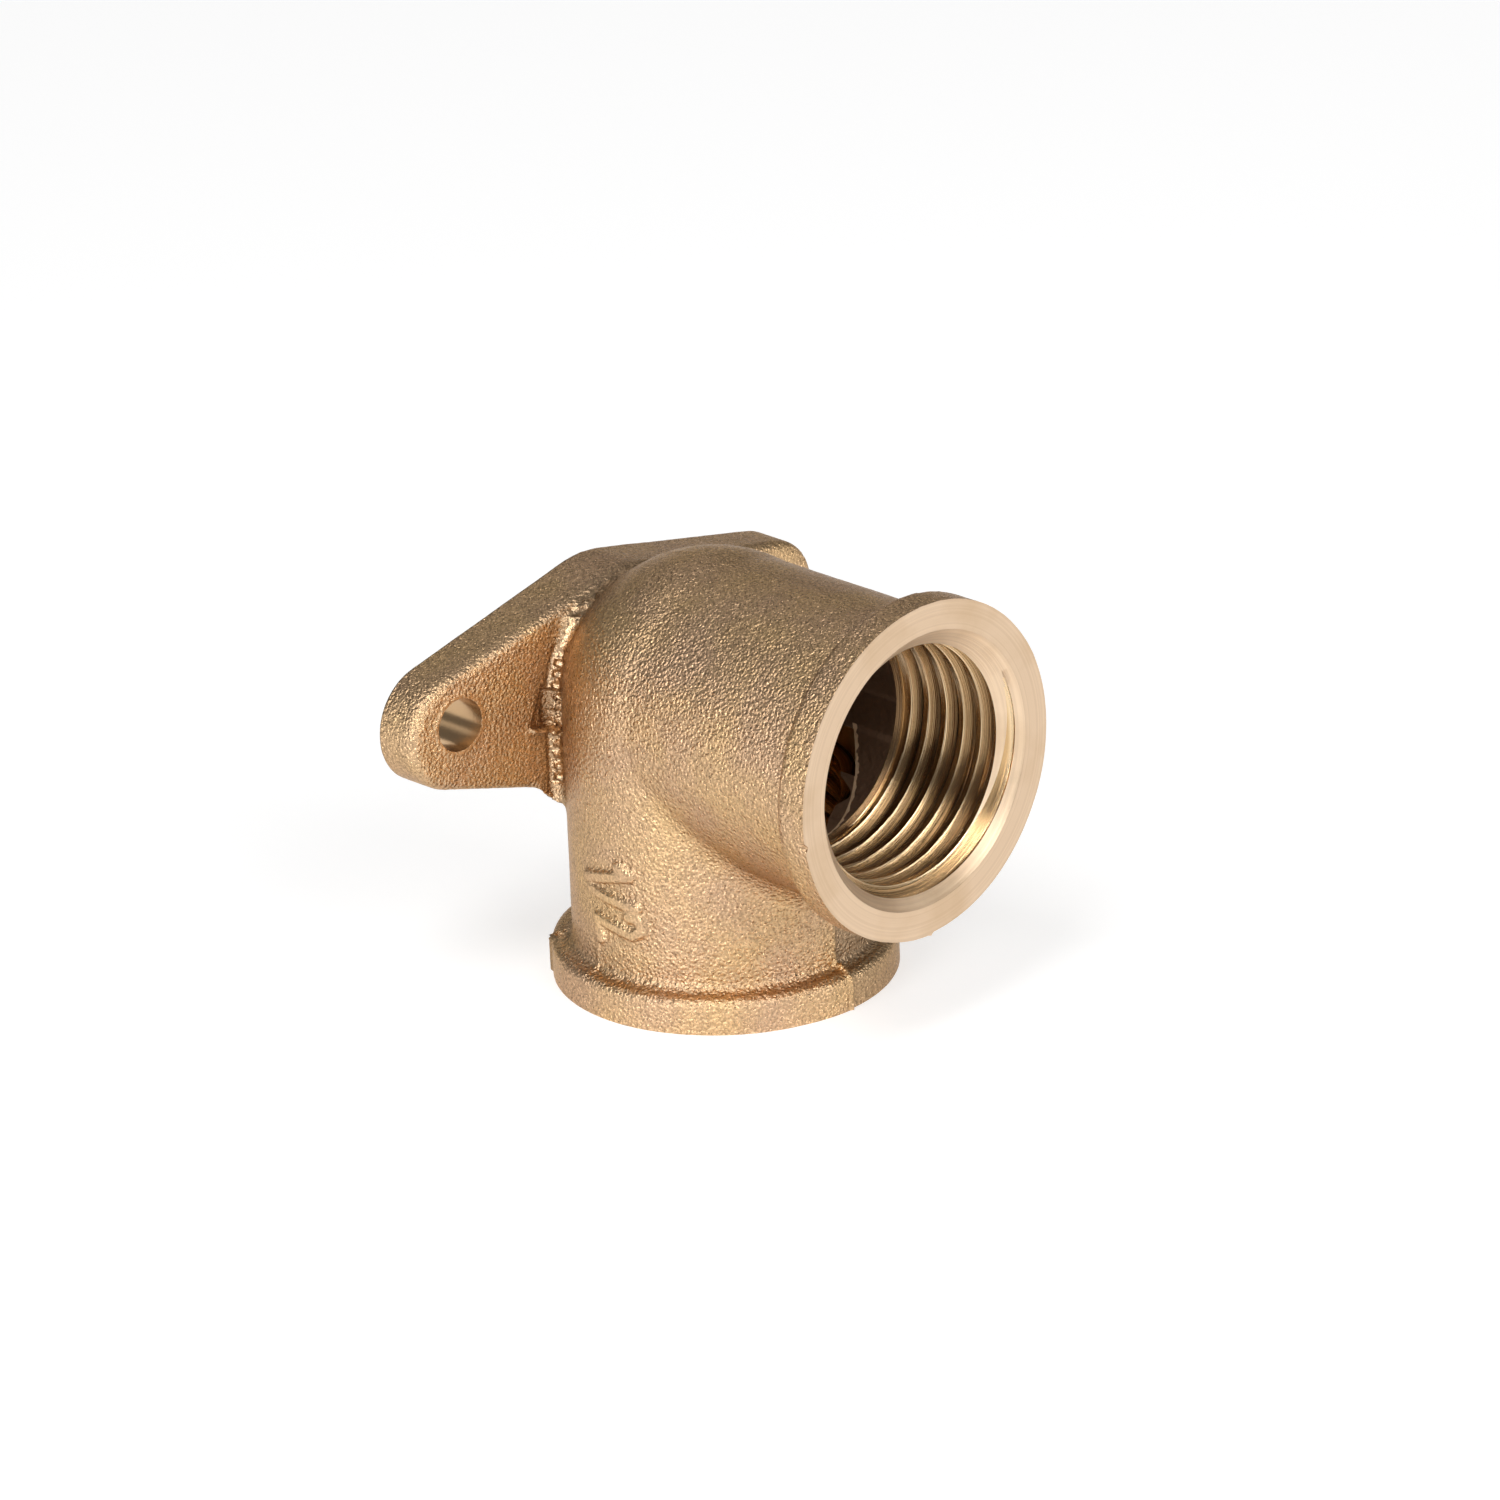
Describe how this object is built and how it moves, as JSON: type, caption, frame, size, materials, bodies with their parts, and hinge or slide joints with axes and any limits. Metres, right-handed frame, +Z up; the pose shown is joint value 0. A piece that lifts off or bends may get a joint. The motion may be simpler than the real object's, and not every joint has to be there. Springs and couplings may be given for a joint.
{
  "type": "female wall-plate elbow",
  "caption": "Cast bronze pipe elbow with female-threaded ports at a right angle, collared mouths and an eared backplate that screws to a wall.",
  "frame": {"origin": "midway between the two wall screws, on the wall face", "axes": "+X along the screw line, -Y out of the front port, +Z up, with the lower port facing -Z"},
  "size_m": [0.0434, 0.0361, 0.0352],
  "materials": {
    "bronze": "grainy shot-blasted cast skin, with turned faces and cut threads"
  },
  "bodies": {
    "root": {"elbow_body": "bronze"}
  },
  "joints": []
}
